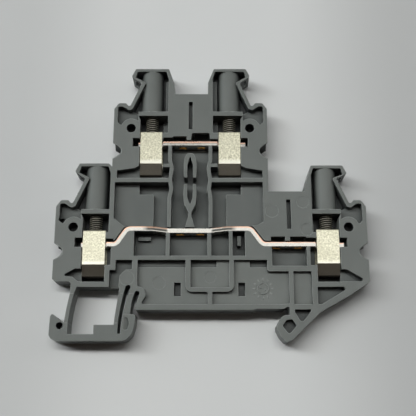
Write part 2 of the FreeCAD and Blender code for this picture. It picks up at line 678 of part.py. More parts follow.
# ---- Nodes -----------------------------------------------------------------------------
nodes = {
    "housing": housing(),
    "rail_foot": rail_foot(),
    "foot_leg_outer": outer_leg(),
    "foot_leg_middle": middle_leg(),
    "foot_leg_hook": hook_leg(),
    "current_bar_upper": current_bar(upper_path(), upper_left, upper_right,
                                     [(x, bar_high_z) for x in bridge_high]),
    "current_bar_lower": current_bar(lower_path(), lower_left, lower_right,
                                     [(x, bar_dip_z) for x in bridge_low]
                                     + [(x, bar_low_z) for x in bridge_right]),
}
for clamp in clamps:
    nodes["clamp_cage_" + clamp.name] = clamp_cage(clamp)
    nodes["clamp_screw_" + clamp.name] = clamp_screw(clamp)

for name, shape in nodes.items():
    solids = shape.Solids
    print(name, "solids", len(solids), "valid", shape.isValid(), "volume", round(shape.Volume, 2))
    solids[0].exportStep("parts/" + name + ".step")
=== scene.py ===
# %% [markdown]
# # A two-level screw terminal block, finished in Blender
#
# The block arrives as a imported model: a housing, a sprung foot, two current bars, four clamp
# cages and four clamp screws, each already in its place. This lesson gives each of them its
# real surface, and it makes again, in finer shape, the pieces that a plain solid can't show
# well: the threaded screws and the punched bars.
#
# Everything is in metres. X runs along the block, Z points away from the rail, and the open
# side of the block faces -Y.

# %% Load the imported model
import math

import bpy
import mathutils
import numpy as np
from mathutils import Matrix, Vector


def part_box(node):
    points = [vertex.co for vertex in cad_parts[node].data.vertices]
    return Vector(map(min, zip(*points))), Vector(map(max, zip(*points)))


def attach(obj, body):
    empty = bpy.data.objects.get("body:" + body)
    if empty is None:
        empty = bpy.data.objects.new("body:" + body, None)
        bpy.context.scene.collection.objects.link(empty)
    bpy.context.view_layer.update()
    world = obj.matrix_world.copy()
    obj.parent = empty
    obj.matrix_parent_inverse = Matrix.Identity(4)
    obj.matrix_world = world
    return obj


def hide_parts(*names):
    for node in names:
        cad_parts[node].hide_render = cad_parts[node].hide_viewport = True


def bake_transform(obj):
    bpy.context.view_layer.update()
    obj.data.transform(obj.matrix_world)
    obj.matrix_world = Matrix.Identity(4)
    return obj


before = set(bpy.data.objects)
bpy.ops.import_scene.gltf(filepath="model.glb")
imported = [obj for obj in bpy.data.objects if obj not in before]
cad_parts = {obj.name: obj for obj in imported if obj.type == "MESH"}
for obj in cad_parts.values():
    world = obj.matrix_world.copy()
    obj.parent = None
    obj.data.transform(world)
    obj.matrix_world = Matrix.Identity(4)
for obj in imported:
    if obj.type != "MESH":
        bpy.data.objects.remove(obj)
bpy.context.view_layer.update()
mm = 0.001
clamps = ["upper_left", "upper_right", "lower_left", "lower_right"]
print("nodes:", ", ".join(sorted(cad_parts)))

# %% [markdown]
# ## Camera
#
# The block lies on a table and is looked at from a little below its rail edge. The camera is
# placed straight in front of the block and tipped up by a few degrees. A lens of medium
# length keeps the perspective of a close product picture.

# %% Camera
lens_length = 64.36
tipped_up = 16.02
camera_place = (-0.00047, -0.1636, -0.02326)

camera_data = bpy.data.cameras.new("camera")
camera_data.sensor_width = 36
camera_data.lens = lens_length
camera_data.clip_start = 0.01
camera = bpy.data.objects.new("camera", camera_data)
camera.location = camera_place
camera.rotation_euler = (math.radians(90 + tipped_up), 0, 0)
bpy.context.scene.collection.objects.link(camera)
bpy.context.scene.camera = camera
bpy.context.scene.view_settings.view_transform = "Standard"
print("camera at", tuple(round(v, 4) for v in camera.location))

# %% [markdown]
# ## Materials from small parts
#
# A node tree is easiest to read when each step has one name. These helpers add one node,
# join it, and hand back its output, so that a material reads like a recipe.


# %% Node helpers
class Recipe:
    """A material's node tree, with one short call for each step."""

    def __init__(self, name):
        self.material = bpy.data.materials.new(name)
        self.material.use_nodes = True
        self.tree = self.material.node_tree
        self.shader = self.tree.nodes["Principled BSDF"]
        self.place = self.tree.nodes.new("ShaderNodeTexCoord").outputs["Object"]

    def join(self, value, socket):
        if isinstance(value, bpy.types.NodeSocket):
            self.tree.links.new(value, socket)
        else:
            socket.default_value = value

    def node(self, kind, settings=None, **inputs):
        made = self.tree.nodes.new(kind)
        for key, value in (settings or {}).items():
            setattr(made, key, value)
        for key, value in inputs.items():
            self.join(value, made.inputs[key.replace("_", " ")])
        return made

    def stretched(self, scale):
        """The place, scaled along each axis, for grain that runs one way."""
        made = self.node("ShaderNodeMapping", Vector=self.place)
        made.inputs["Scale"].default_value = scale
        return made.outputs["Vector"]

    def noise(self, per_metre, detail=3.0, rough=0.5, vector=None):
        made = self.node("ShaderNodeTexNoise", Scale=per_metre, Detail=detail, Roughness=rough)
        self.join(self.place if vector is None else vector, made.inputs["Vector"])
        return made.outputs["Fac"]

    def rescale(self, value, low, high, to_low, to_high, smooth=False):
        """Values from low to high become values from to_low to to_high, clamped there.

        With smooth, the change eases in and out as a smooth step.
        """
        made = self.node("ShaderNodeMapRange", {"clamp": True})
        if smooth:
            made.interpolation_type = "SMOOTHSTEP"
        for key, item in (("Value", value), ("From Min", low), ("From Max", high),
                          ("To Min", to_low), ("To Max", to_high)):
            self.join(item, made.inputs[key])
        return made.outputs["Result"]

    def math(self, operation, a, b=0.0):
        made = self.node("ShaderNodeMath", {"operation": operation})
        self.join(a, made.inputs[0])
        self.join(b, made.inputs[1])
        return made.outputs[0]

    def part(self, vector, axis):
        """One coordinate, "X", "Y" or "Z", of a vector."""
        return self.node("ShaderNodeSeparateXYZ", Vector=vector).outputs[axis]

    def attribute(self, name):
        """A number that a piece's mesh carries under this name."""
        return self.node("ShaderNodeAttribute", {"attribute_name": name}).outputs["Fac"]

    def facing(self):
        """The direction in which the surface looks, in the object's own axes."""
        return self.node("ShaderNodeTexCoord").outputs["Normal"]

    def mix(self, share, a, b):
        """The colour a where share is 0 and b where it is 1."""
        made = self.tree.nodes.new("ShaderNodeMix")
        made.data_type = "RGBA"
        self.join(share, made.inputs["Factor"])
        self.join(a, made.inputs["A"])
        self.join(b, made.inputs["B"])
        return made.outputs["Result"]

    def bump(self, height, strength, depth, before=None):
        made = self.node("ShaderNodeBump", Strength=strength, Distance=depth, Height=height)
        if before is not None:
            self.tree.links.new(before, made.inputs["Normal"])
        return made.outputs["Normal"]

    def finish(self, **sockets):
        for key, value in sockets.items():
            self.join(value, self.shader.inputs[key.replace("_", " ")])
        return self.material


def rgb(red, green, blue):
    return (red, green, blue, 1.0)


print("material helpers ready")

# %% [markdown]
# ## The moulded plastic
#
# The housing is grey polyamide. Its colour is nearly even, but a real moulding is never
# perfectly so: it has broad clouds from the flow of the melt, a fine speckle of filler, and a
# skin that is a little glossier where the mould was smooth. Three noises of different sizes
# give those, where a flat colour would look like paint.
#
# Four more tints depend on the shape. Light alone left the deep chambers too pale, so these
# are chosen for the look, and are not measured properties of the plastic. They are painted
# shade and a painted highlight:
#
# - Floors that look out of the open side get painted shade, darker with their depth, and the
#   outermost face is darkened a little too.
# - Faces that look down get painted shade.
# - Edges get a painted highlight, a lighter tint. The Bevel node gives a normal as if each
#   edge were rounded over 0.28 mm, and where that differs from the true normal there is an
#   edge. A crevice has such a difference too, so the painted highlight also asks for open sky.
#   The same rounded normal shades the surface, because no moulded edge is quite sharp.
# - Crevices get painted shade where the Ambient Occlusion node finds little open sky within
#   reach, and so do the floors of the chambers.


# %% Grey polyamide
open_face = -2.6 * mm
shallow_floor, deep_floor = -1.4 * mm, -0.7 * mm
deepest_floor = 0.9 * mm
dark_from, dark_to = 1.2 * mm, 2.1 * mm
edge_radius = 0.28 * mm
sky_reach = 3.2 * mm
plastic_grain = 0.04 * mm


def grey_polyamide():
    """Grey tint from three noises, with painted shade by depth, below and in crevices, and painted
    edge highlights.
    """
    r = Recipe("grey_polyamide")
    clouds = r.noise(90, 4, 0.55)
    flow = r.noise(260, 3, 0.5, r.stretched((1, 1, 0.25)))
    speckle = r.noise(9000, 2, 0.6)
    tint = r.mix(r.rescale(clouds, 0.35, 0.65, 0, 1), rgb(0.140, 0.154, 0.147),
                 rgb(0.161, 0.175, 0.167))
    tint = r.mix(r.rescale(flow, 0.35, 0.7, 0, 0.35), tint, rgb(0.174, 0.187, 0.179))
    tint = r.mix(r.rescale(speckle, 0.35, 0.7, 0, 0.30), tint, rgb(0.128, 0.139, 0.134))

    # Floors: painted shade, darker with the depth of every face that looks out of the open side.
    depth = r.part(r.place, "Y")
    deep = r.math("ADD", r.rescale(depth, shallow_floor, deep_floor, 0, 0.46),
                  r.rescale(depth, deep_floor, deepest_floor, 0, 0.14))
    deep = r.math("ADD", deep, r.rescale(depth, open_face, open_face + 0.3 * mm, 0.10, 0))
    facing = r.facing()
    open_side = r.rescale(r.part(facing, "Y"), -0.9, -0.3, 1, 0)
    tint = r.mix(r.math("MULTIPLY", deep, open_side), tint, rgb(0.070, 0.079, 0.079))
    # Painted shade: faces that look down are darkened nearly to black.
    downward = r.rescale(r.part(facing, "Z"), -0.95, -0.6, 0.6, 0)
    tint = r.mix(downward, tint, rgb(0.020, 0.023, 0.025))

    # Edges: a painted highlight, lighter where the rounded normal leaves the true one, and there is
    # open sky.
    edge = r.node("ShaderNodeBevel", {"samples": 4}, Radius=edge_radius)
    rounded = edge.outputs["Normal"]
    flat = r.node("ShaderNodeNewGeometry").outputs["True Normal"]
    closeness = r.node("ShaderNodeVectorMath", {"operation": "DOT_PRODUCT"})
    r.join(rounded, closeness.inputs[0])
    r.join(flat, closeness.inputs[1])
    openness = r.node("ShaderNodeAmbientOcclusion", {"samples": 6, "only_local": True},
                      Distance=sky_reach)
    open_sky = openness.outputs["AO"]
    painted_edge_highlight = r.math("MULTIPLY", r.rescale(closeness.outputs["Value"], 0.90, 0.999, 1.0, 0),
                  r.rescale(open_sky, 0.30, 0.55, 0, 1))
    tint = r.mix(painted_edge_highlight, tint, rgb(0.33, 0.35, 0.34))

    # Crevices: painted shade, nearly black where the sky is hidden, and on the floors of the
    # chambers.
    chamber = r.math("MULTIPLY", r.rescale(depth, dark_from, dark_to, 0, 0.9), open_side)
    hidden = r.math("MAXIMUM", r.rescale(open_sky, 0.12, 0.58, 0.95, 0), chamber)
    tint = r.mix(hidden, tint, rgb(0.010, 0.012, 0.014))

    gloss = r.rescale(r.noise(420, 4, 0.6), 0.3, 0.7, 0.40, 0.54)
    skin = r.bump(r.noise(5200, 3, 0.65), 0.35, plastic_grain, rounded)
    return r.finish(Base_Color=tint, Roughness=gloss, Normal=skin, IOR=1.53)


plastic = grey_polyamide()
print("made", plastic.name)

# %% [markdown]
# ## The plated steel
#
# Cages and screws are zinc plated. On a tumbled part the plating is bright but mottled:
# small dents catch the lamp at slightly different angles. Two sizes of shallow relief and a
# roughness that varies over them give that sparkle. The folded foot of a cage, and any face
# that looks down, gets painted shade: a darker, browner tint with a stretched grain.
#
# On the real sleeves of the upper level the rounded fold mirrors a pale band at their lower
# end. Nothing in the scene computes that, so a painted reflection, a pale band, is put there
# by height for the look. The height is counted anew from each level, so the lower cages get
# the band too, although the real ones show no such band there. That is a known fault of this
# finish. The screws are left with an oily olive passivation, and the crest of the thread is
# tinted lighter.


# %% Zinc-plated steel
level_rise = 23.73 * mm
band_full, band_end = 10.6 * mm, 11.2 * mm
dent_depth, fine_depth = 0.05 * mm, 0.01 * mm


def zinc_plate(name, light, dark, dent, roughness):
    """Plating mottled between two tints, with a painted reflection as a pale band at the fold, and
    painted shade in brown below it.
    """
    r = Recipe(name)
    dents = r.noise(2400, 3, 0.62)
    fine = r.noise(6000, 2, 0.6)
    tint = r.mix(r.rescale(dents, 0.38, 0.62, 0, 1), dark, light)
    stained = r.rescale(r.noise(350, 3, 0.6), 0.45, 0.75, 0, 0.5)
    tint = r.mix(stained, tint, dark)
    # Painted reflection: the sleeve is paler below a height counted anew from each level.
    above_level = r.math("MODULO", r.part(r.place, "Z"), level_rise)
    folded = r.rescale(above_level, band_full, band_end, 0.8, 0)
    tint = r.mix(folded, tint, rgb(0.99, 0.975, 0.86))
    # Painted shade: faces that look down are tinted darker and browner.
    painted_downward_shade = r.rescale(r.part(r.facing(), "Z"), -0.6, -0.2, 1, 0)
    brushed = r.noise(900, 3, 0.6, r.stretched((0.15, 1, 1)))
    brown = r.mix(brushed, rgb(0.20, 0.160, 0.135), rgb(0.38, 0.32, 0.275))
    tint = r.mix(painted_downward_shade, tint, brown)
    gloss = r.rescale(fine, 0.3, 0.7, roughness - 0.05, roughness + 0.08)
    relief = r.bump(dents, dent, dent_depth)
    relief = r.bump(fine, dent * 0.5, fine_depth, relief)
    return r.finish(Base_Color=tint, Metallic=1.0, Roughness=gloss, Normal=relief)


def oily_thread():
    """Dark oily olive plating, tinted lighter along the crest of the thread."""
    r = Recipe("oily_passivated_thread")
    stain = r.noise(900, 3, 0.6)
    tint = r.mix(r.rescale(stain, 0.35, 0.65, 0, 1), rgb(0.030, 0.028, 0.022),
                 rgb(0.075, 0.070, 0.056))
    lighter_crest = r.rescale(r.attribute("crest"), 0.72, 1.0, 0, 1)
    tint = r.mix(lighter_crest, tint, rgb(0.46, 0.44, 0.37))
    gloss = r.rescale(stain, 0.3, 0.7, 0.42, 0.58)
    return r.finish(Base_Color=tint, Metallic=0.4, Roughness=gloss,
                    Normal=r.bump(r.noise(5000, 2, 0.6), 0.2, fine_depth))


cage_plate = zinc_plate("bright_zinc_plate", light=rgb(0.92, 0.90, 0.73),
                        dark=rgb(0.60, 0.58, 0.44), dent=0.45, roughness=0.36)
screw_plate = oily_thread()
print("made", cage_plate.name, "and", screw_plate.name)

# %% [markdown]
# ## The tinned bars
#
# The bars are punched from tinned copper strip. Tin covers the flat sides. On a punched edge
# the die first smears the tin over the lower part and then tears the copper, so the upper
# part shows bare copper, and so do the walls of the windows. Each bar's mesh carries two
# numbers for this: "rise", from -1 at its lower side to 1 at its upper, and "window", which
# is 1 on the walls of a window.
#
# The line where copper starts is not the same everywhere. It starts lower on the upper bar,
# and higher in the dip of the lower bar. The middle of the edge gets a painted dark
# reflection, a little everywhere and strongly where the lower bar slants at either side of its
# dip, where bare copper is darkened too. The upper bar has a thin dark seam. These are chosen
# by position for the look, and nothing in the scene computes them.


# %% Tinned copper
dip_middle = -4.6 * mm
lower_bar_below, upper_bar_above = 25 * mm, 30 * mm
tin_relief = 0.02 * mm


def tinned_copper():
    """Tin, or bare copper above a ragged line on cut edges, and golden window walls."""
    r = Recipe("tinned_copper")
    clouds = r.noise(700, 3, 0.5)
    fine = r.noise(5000, 2, 0.6)
    tin = r.mix(r.rescale(clouds, 0.35, 0.65, 0, 1), rgb(0.50, 0.49, 0.46),
                rgb(0.76, 0.74, 0.69))
    rise = r.attribute("rise")
    window = r.attribute("window")

    # Place: how far from the middle of the dip, and on which of the two bars.
    from_dip = r.math("ABSOLUTE", r.math("SUBTRACT", r.part(r.place, "X"), dip_middle))
    upper = r.rescale(r.part(r.place, "Z"), lower_bar_below, upper_bar_above, 0, 1)
    lower = r.math("SUBTRACT", 1.0, upper)

    # Torn copper: the part of a cut edge that is above a ragged line.
    dip = r.math("MULTIPLY", r.rescale(from_dip, 4.4 * mm, 5.2 * mm, 0.6, 0), lower)
    ragged = r.rescale(r.noise(260, 3, 0.6), 0.35, 0.65, 0.15, 0.65)
    ragged = r.math("SUBTRACT", r.math("ADD", ragged, dip), r.math("MULTIPLY", upper, 0.30))
    torn = r.rescale(r.math("SUBTRACT", rise, ragged), -0.05, 0.15, 0, 1)

    # Painted dark reflection in the core of the edge, and a dark seam: bands of the edge between
    # two values of rise.
    slanting = r.math("MULTIPLY", r.rescale(from_dip, 4.7 * mm, 5.2 * mm, 0, 1),
                      r.rescale(from_dip, 9.3 * mm, 10.8 * mm, 1, 0))
    slanting = r.math("MULTIPLY", slanting, lower)
    core = r.math("MULTIPLY", r.rescale(rise, -0.75, -0.45, 0, 1),
                  r.rescale(rise, 0.2, 0.5, 1, 0))
    core = r.math("MULTIPLY", core, r.math("MAXIMUM", slanting, 0.12))
    tin = r.mix(core, tin, rgb(0.075, 0.075, 0.070))
    seam = r.math("MULTIPLY", r.rescale(rise, -0.12, 0.0, 0, 1),
                  r.rescale(rise, 0.05, 0.17, 1, 0))
    seam = r.math("MULTIPLY", seam, r.math("MULTIPLY", upper, 0.75))

    cut = r.rescale(r.math("ABSOLUTE", r.part(r.facing(), "Y")), 0.1, 0.45, 0, 1)
    bare = r.math("MAXIMUM", r.math("MULTIPLY", torn, cut), window)
    copper = r.mix(clouds, rgb(0.62, 0.38, 0.27), rgb(0.86, 0.62, 0.50))
    # Painted dark reflection: bare copper is darkened where the lower bar slants.
    copper = r.mix(r.math("MULTIPLY", slanting, 0.75), copper, rgb(0.22, 0.14, 0.10))
    tint = r.mix(window, r.mix(bare, tin, copper), rgb(0.95, 0.74, 0.42))
    tint = r.mix(seam, tint, rgb(0.12, 0.10, 0.09))
    gloss = r.rescale(clouds, 0.3, 0.7, 0.24, 0.38)
    relief = r.bump(fine, 0.2, tin_relief)
    return r.finish(Base_Color=tint, Metallic=1.0, Roughness=gloss, Normal=relief)


bar_metal = tinned_copper()
print("made", bar_metal.name)

# %% [markdown]
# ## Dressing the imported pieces
#
# The housing, the foot and the cages keep the shapes that they arrived with, because their
# flat walls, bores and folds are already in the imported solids, and only need a finish. The
# bars, screws and legs are dressed as well, although finer pieces replace them further on.

# %% Dress the carried-over nodes
def dress(node, material):
    """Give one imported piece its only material."""
    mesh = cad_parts[node].data
    mesh.materials.clear()
    mesh.materials.append(material)


for node in ["housing", "rail_foot", "foot_leg_outer", "foot_leg_middle", "foot_leg_hook"]:
    dress(node, plastic)
for bar in ["current_bar_upper", "current_bar_lower"]:
    dress(bar, bar_metal)
for clamp in clamps:
    dress("clamp_cage_" + clamp, cage_plate)
    dress("clamp_screw_" + clamp, screw_plate)
print("dressed", len(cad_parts), "nodes")

# %% [markdown]
# ## Surfaces from grids
#
# Every new piece below is a grid of points that two parameters run over, so all of them need
# the same few steps: number the faces of a grid, lay several grids one after another in one
# mesh, and hand the mesh to Blender.


# %% Grid helpers
def grid_quads(rows, columns, closed):
    """Faces of a grid whose points are numbered row by row; closed joins last column to first."""
    row = np.arange(rows - 1)[:, None] * columns
    column = np.arange(columns if closed else columns - 1)[None, :]
    right = (column + 1) % columns
    corners = [row + column, row + right, row + columns + right, row + columns + column]
    return np.stack([c.ravel() for c in np.broadcast_arrays(*corners)], axis=1)


def lathe(rings):
    """A closed skin over rings of points, each end brought together to one point.

    rings has the shape (rows, columns, 3). The two end points are the means of the end rings.
    """
    rows, columns, _ = rings.shape
    points = np.concatenate([rings.reshape(-1, 3), rings[:1].mean(axis=1), rings[-1:].mean(axis=1)])
    turn = np.arange(columns)
    after = (turn + 1) % columns
    first, last = rows * columns, rows * columns + 1
    base = (rows - 1) * columns
    foot = np.stack([after, turn, np.full(columns, first)], axis=1)
    head = np.stack([base + turn, base + after, np.full(columns, last)], axis=1)
    return points, [grid_quads(rows, columns, True), foot, head]


def join_skins(skins):
    """Points and faces of several skins as one list each."""
    points, faces, start = [], [], 0
    for skin_points, skin_faces in skins:
        points.append(skin_points)
        faces += [f + start for f in skin_faces]
        start += len(skin_points)
    return np.concatenate(points), faces


def piece(name, points, faces, material, smooth=True):
    """A new object at the origin from points and groups of faces."""
    mesh = bpy.data.meshes.new(name)
    mesh.from_pydata(points, [], [f for group in faces for f in group.tolist()])
    mesh.polygons.foreach_set("use_smooth", np.full(len(mesh.polygons), smooth))
    mesh.materials.append(material)
    made = bpy.data.objects.new(name, mesh)
    bpy.context.scene.collection.objects.link(made)
    return made


def mark(made, name, values, domain="POINT"):
    """A number for each point or face that its material can read."""
    made.data.attributes.new(name, "FLOAT", domain).data.foreach_set("value", values)


print("grid helpers ready")

# %% [markdown]
# ## Clamp screws
#
# A plain cylinder doesn't read as a screw: the thread is what the eye looks for between the
# web and the cage. A thread is a ridge that climbs one pitch for each turn, so one formula
# gives the whole surface. At height z and angle a, the phase z / pitch - a / (2 pi) says how
# far along the ridge the point is, and the radius follows the phase. A Screw modifier could
# sweep the ridge too, but the formula also gives each point its "crest", from 0 in a groove to
# 1 on the ridge, and the material needs that. The slotted head is a disc under two half-round
# cheeks.

# %% Screw dimensions
thread_pitch = 0.5 * mm
thread_major, thread_minor = 1.5 * mm, 1.17 * mm
head_radius, head_height = 1.9 * mm, 2.0 * mm
slot_half, slot_deep = 0.3 * mm, 0.9 * mm
rim_round = 0.3 * mm
thread_columns, thread_rows = 72, 200
tip_step = 0.4 * mm


# %% Thread and head surfaces
def thread(tip, seat):
    """A right-hand thread round Z: radius = minor + (major - minor) * ridge(phase).

    The phase is z / pitch - a / (2 pi), and the ridge is a triangle wave with its top and
    bottom cut flat. A cone of 45 degrees limits the radius at the tip.
    """
    angle = np.linspace(0, 2 * np.pi, thread_columns, endpoint=False)[None, :]
    z = np.linspace(tip, seat, thread_rows)[:, None]
    phase = (z / thread_pitch - angle / (2 * np.pi)) % 1.0
    ridge = np.clip(1.33 * (2 * np.abs(phase - 0.5)) - 0.12, 0, 1)
    radius = thread_minor + (thread_major - thread_minor) * ridge
    radius = np.minimum(radius, thread_major - tip_step + (z - tip))
    rings = np.stack([radius * np.cos(angle), radius * np.sin(angle), z + 0 * angle], axis=2)
    return rings, ridge


def turned(profile, columns=64):
    """A surface of revolution round Z through the (radius, z) pairs of a profile."""
    angle = np.linspace(0, 2 * np.pi, columns, endpoint=False)[None, :]
    radius, z = np.array(profile).T[:, :, None]
    return np.stack([radius * np.cos(angle), radius * np.sin(angle), z + 0 * angle], axis=2)


def cheek(profile, sign):
    """Half of a round head beside its slot: an arc closed by a chord at the slot's wall.

    At each height the outline has the points r * (cos a, sin a), with sin a from slot_half / r
    to slot_half / r on the other side, so that the chord lies along the slot.
    """
    share = np.linspace(0, 1, 40)[None, :]
    radius, z = np.array(profile).T[:, :, None]
    start = np.arcsin(slot_half / radius)
    angle = start + (np.pi - 2 * start) * share + (0 if sign > 0 else np.pi)
    return np.stack([radius * np.cos(angle), radius * np.sin(angle), z + 0 * angle], axis=2)


# %% Four screws
def clamp_screw(name):
    """Thread, slotted base and two cheeks as one piece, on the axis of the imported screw."""
    low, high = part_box("clamp_screw_" + name)
    top = high[2]
    seat = top - head_height
    shank, ridge = thread(low[2], seat + 0.05 * mm)
    floor = top - slot_deep
    base = turned([(head_radius - 0.1 * mm, seat), (head_radius, seat + 0.1 * mm),
                   (head_radius, floor - 0.02 * mm), (head_radius - 0.01 * mm, floor)])
    side = [(head_radius - 0.012 * mm, floor - 0.05 * mm), (head_radius, floor + 0.02 * mm),
            (head_radius, top - rim_round), (head_radius - 0.09 * mm, top - 0.09 * mm),
            (head_radius - rim_round, top)]
    points, faces = join_skins([lathe(shank), lathe(base), lathe(cheek(side, 1)),
                                lathe(cheek(side, -1))])
    points = points + np.array([(low[0] + high[0]) / 2, (low[1] + high[1]) / 2, 0])
    made = piece("threaded_screw_" + name, points, faces, screw_plate)
    crest = np.ones(len(points))
    crest[:ridge.size] = ridge.ravel()
    mark(made, "crest", crest)
    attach(made, "screw_" + name)
    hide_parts("clamp_screw_" + name)
    return made


for clamp in clamps:
    screw = clamp_screw(clamp)
    print(screw.name, len(screw.data.polygons), "faces")

# %% [markdown]
# ## Current bars
#
# A bar is a strip that follows a bent line, so its surface needs one parameter along the
# line, one across the strip and one through its thickness. The windows for the bridges and
# the narrow tongues at the ends are cells left out of that grid, and every edge between a
# kept cell and an empty one gets a wall. Boolean modifiers could cut the windows too, but
# here each wall is made on its own, so that it can carry the mark for bare copper. A small
# Bevel modifier then breaks the punched edges.


# %% Bent line
corner_points = 9


def rounded_line(corners):
    """Points along a line whose corners (x, z, radius) are arcs, as one array of (x, z).

    At a corner, the arc starts and ends at radius * tan(turn / 2) from it. Its points are
    centre + radius * (cos, sin), for angles from one end to the other.
    """
    runs = [np.array([corners[0][:2]])]
    for before, (x, z, radius), after in zip(corners, corners[1:-1], corners[2:]):
        here = np.array([x, z])
        into = here - np.array(before[:2])
        out = np.array(after[:2]) - here
        into, out = into / np.linalg.norm(into), out / np.linalg.norm(out)
        turn = np.arctan2(into[0] * out[1] - into[1] * out[0], into @ out)
        reach = radius * np.tan(abs(turn) / 2)
        side = np.sign(turn) * np.array([-into[1], into[0]])
        centre = here - into * reach + side * radius
        first = np.arctan2(*(here - into * reach - centre)[::-1])
        angle = first + np.linspace(0, turn, corner_points)
        runs.append(centre + radius * np.stack([np.cos(angle), np.sin(angle)], axis=1))
    runs.append(np.array([corners[-1][:2]]))
    return np.concatenate(runs)


# %% Punched strip
strip_levels = np.array([-1.0, -0.4, 0.2, 1.0])
broken_edge = 0.09 * mm


def punched_strip(name, line, across, thickness, kept, material):
    """A strip of even thickness over a bent line, with cells left out.

    Point (s, t, u) is line(s) + u * thickness / 2 * normal(s), at y = across(t), where u runs
    from -1 under the strip to 1 on top. kept(x, y) says which cells of the grid are metal, and
    which of the empty ones are windows.
    """
    run = np.gradient(line, axis=0)
    run /= np.linalg.norm(run, axis=1)[:, None]
    normal = np.stack([-run[:, 1], run[:, 0]], axis=1)
    rows, columns = len(line), len(across)
    shift = strip_levels[:, None, None] * thickness / 2
    flat = line[None, :, :] + shift * normal[None, :, :]
    points = np.zeros((len(strip_levels), rows, columns, 3))
    points[..., 0] = flat[:, :, None, 0]
    points[..., 1] = across[None, None, :]
    points[..., 2] = flat[:, :, None, 1]
    number = np.arange(points[..., 0].size).reshape(points.shape[:3])
    middle_x = (line[1:, 0] + line[:-1, 0]) / 2
    middle_y = (across[1:] + across[:-1]) / 2
    metal, hole = kept(middle_x[:, None], middle_y[None, :])
    lids = []
    for level, order in ((-1, 1), (0, -1)):
        n = number[level]
        quads = np.stack([n[:-1, :-1], n[1:, :-1], n[1:, 1:], n[:-1, 1:]], axis=2)[metal]
        lids.append(quads[:, ::order])
    walls, cut = [], []
    padded, window = np.pad(metal, 1), np.pad(hole, 1)
    for axis in (0, 1):
        one = padded[:-1, 1:-1] if axis == 0 else padded[1:-1, :-1]
        two = padded[1:, 1:-1] if axis == 0 else padded[1:-1, 1:]
        gap_one = window[:-1, 1:-1] if axis == 0 else window[1:-1, :-1]
        gap_two = window[1:, 1:-1] if axis == 0 else window[1:-1, 1:]
        start = number[:, :, :-1] if axis == 0 else number[:, :-1, :]
        end = number[:, :, 1:] if axis == 0 else number[:, 1:, :]
        outward = -1 if axis == 0 else 1
        for edge, order in ((one & ~two, outward), (two & ~one, -outward)):
            for low, high in ((0, 1), (1, 2), (2, 3)):
                quads = np.stack([start[low][edge], start[high][edge],
                                  end[high][edge], end[low][edge]], axis=1)
                walls.append(quads[:, ::order])
                cut.append((gap_one | gap_two)[edge].astype(float))
    used, inverse = np.unique(np.concatenate(lids + walls), return_inverse=True)
    faces = inverse.reshape(-1, 4)
    made = piece(name, points.reshape(-1, 3)[used], [faces], material, smooth=False)
    rise = np.broadcast_to(strip_levels[:, None, None], points.shape[:3]).ravel()[used]
    mark(made, "rise", rise)
    not_cut = np.zeros(sum(len(lid) for lid in lids))
    mark(made, "window", np.concatenate([not_cut] + cut), "FACE")
    bevel = made.modifiers.new("broken_edges", "BEVEL")
    bevel.width = broken_edge
    bevel.segments = 2
    bevel.limit_method = "ANGLE"
    bevel.angle_limit = math.radians(40)
    return made


# %% Bar dimensions
bar_front, bar_back = -2.05 * mm, 0.95 * mm
tongue_front = -1.2 * mm
bar_thickness = 1.1 * mm
hole_front, hole_back = -0.85 * mm, 0.35 * mm
hole_half = 0.85 * mm
cage_half = 2.78 * mm
closest_points = 0.02 * mm


# %% Two bars
def bar(name, corners, left_cage, right_cage, holes):
    """A bar along (x, z, radius) corners, with tongues into two cages and windows at holes."""
    line = rounded_line([(x * mm, z * mm, r * mm) for x, z, r in corners])
    stops = np.array([left_cage + cage_half, right_cage - cage_half]
                     + [x + d for x in holes for d in (-hole_half, hole_half)])
    height = np.interp(stops, line[:, 0], line[:, 1])
    line = np.concatenate([line, np.stack([stops, height], axis=1)])
    line = line[np.argsort(line[:, 0])]
    line = line[np.concatenate([[True], np.diff(line[:, 0]) > closest_points])]
    across = np.array([bar_front, tongue_front, hole_front, hole_back, bar_back])

    def kept(x, y):
        tongue = ((x < left_cage + cage_half) | (x > right_cage - cage_half)) & (y < tongue_front)
        near = np.min(np.abs(x[..., None] - np.array(holes)), axis=2) < hole_half
        window = near & (y > hole_front) & (y < hole_back)
        return ~tongue & ~window, window

    made = punched_strip("punched_" + name, line, across, bar_thickness, kept, bar_metal)
    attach(made, "housing")
    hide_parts(name)
    print(made.name, len(made.data.polygons), "faces")
    return made


def cage_middle(name):
    """The x of a cage's axis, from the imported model."""
    low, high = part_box("clamp_cage_" + name)
    return (low[0] + high[0]) / 2


# Heights of the middle of the strip, and places along it, in millimetres.
low_bar, high_bar = 14.75, 38.70
hump, dip = 18.35, 17.85
left_dip, right_dip, dip_slope = -9.15, -0.05, 3.9
left_end, right_end = [v[0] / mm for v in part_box("current_bar_lower")]
bar("current_bar_lower",
    [(left_end, low_bar, 0), (-21.0, low_bar, 1.3), (-18.6, hump, 1.5),
     (left_dip - dip_slope, hump, 3), (left_dip, dip, 3),
     (right_dip, dip, 3), (right_dip + dip_slope, hump, 3),
     (9.1, hump, 1.5), (11.75, low_bar, 1.5), (right_end, low_bar, 0)],
    cage_middle("lower_left"), cage_middle("lower_right"),
    [x * mm for x in (-6.75, -2.25, 14.95, 19.85)])
left_end, right_end = [v[0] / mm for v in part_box("current_bar_upper")]
bar("current_bar_upper", [(left_end, high_bar, 0), (right_end, high_bar, 0)],
    cage_middle("upper_left"), cage_middle("upper_right"),
    [x * mm for x in (-6.3, -2.05)])

# %% [markdown]
# ## Legs of the sprung foot
#
# When the foot is levered off the rail its three legs bend. A leg's top stays with the
# housing and its end goes with the foot, so each is a leaf with many rows of points along
# its height. A leg that rode on only one of the two bodies would part from the other. This
# script makes the leaves only; it does not blend their rows between the bodies.

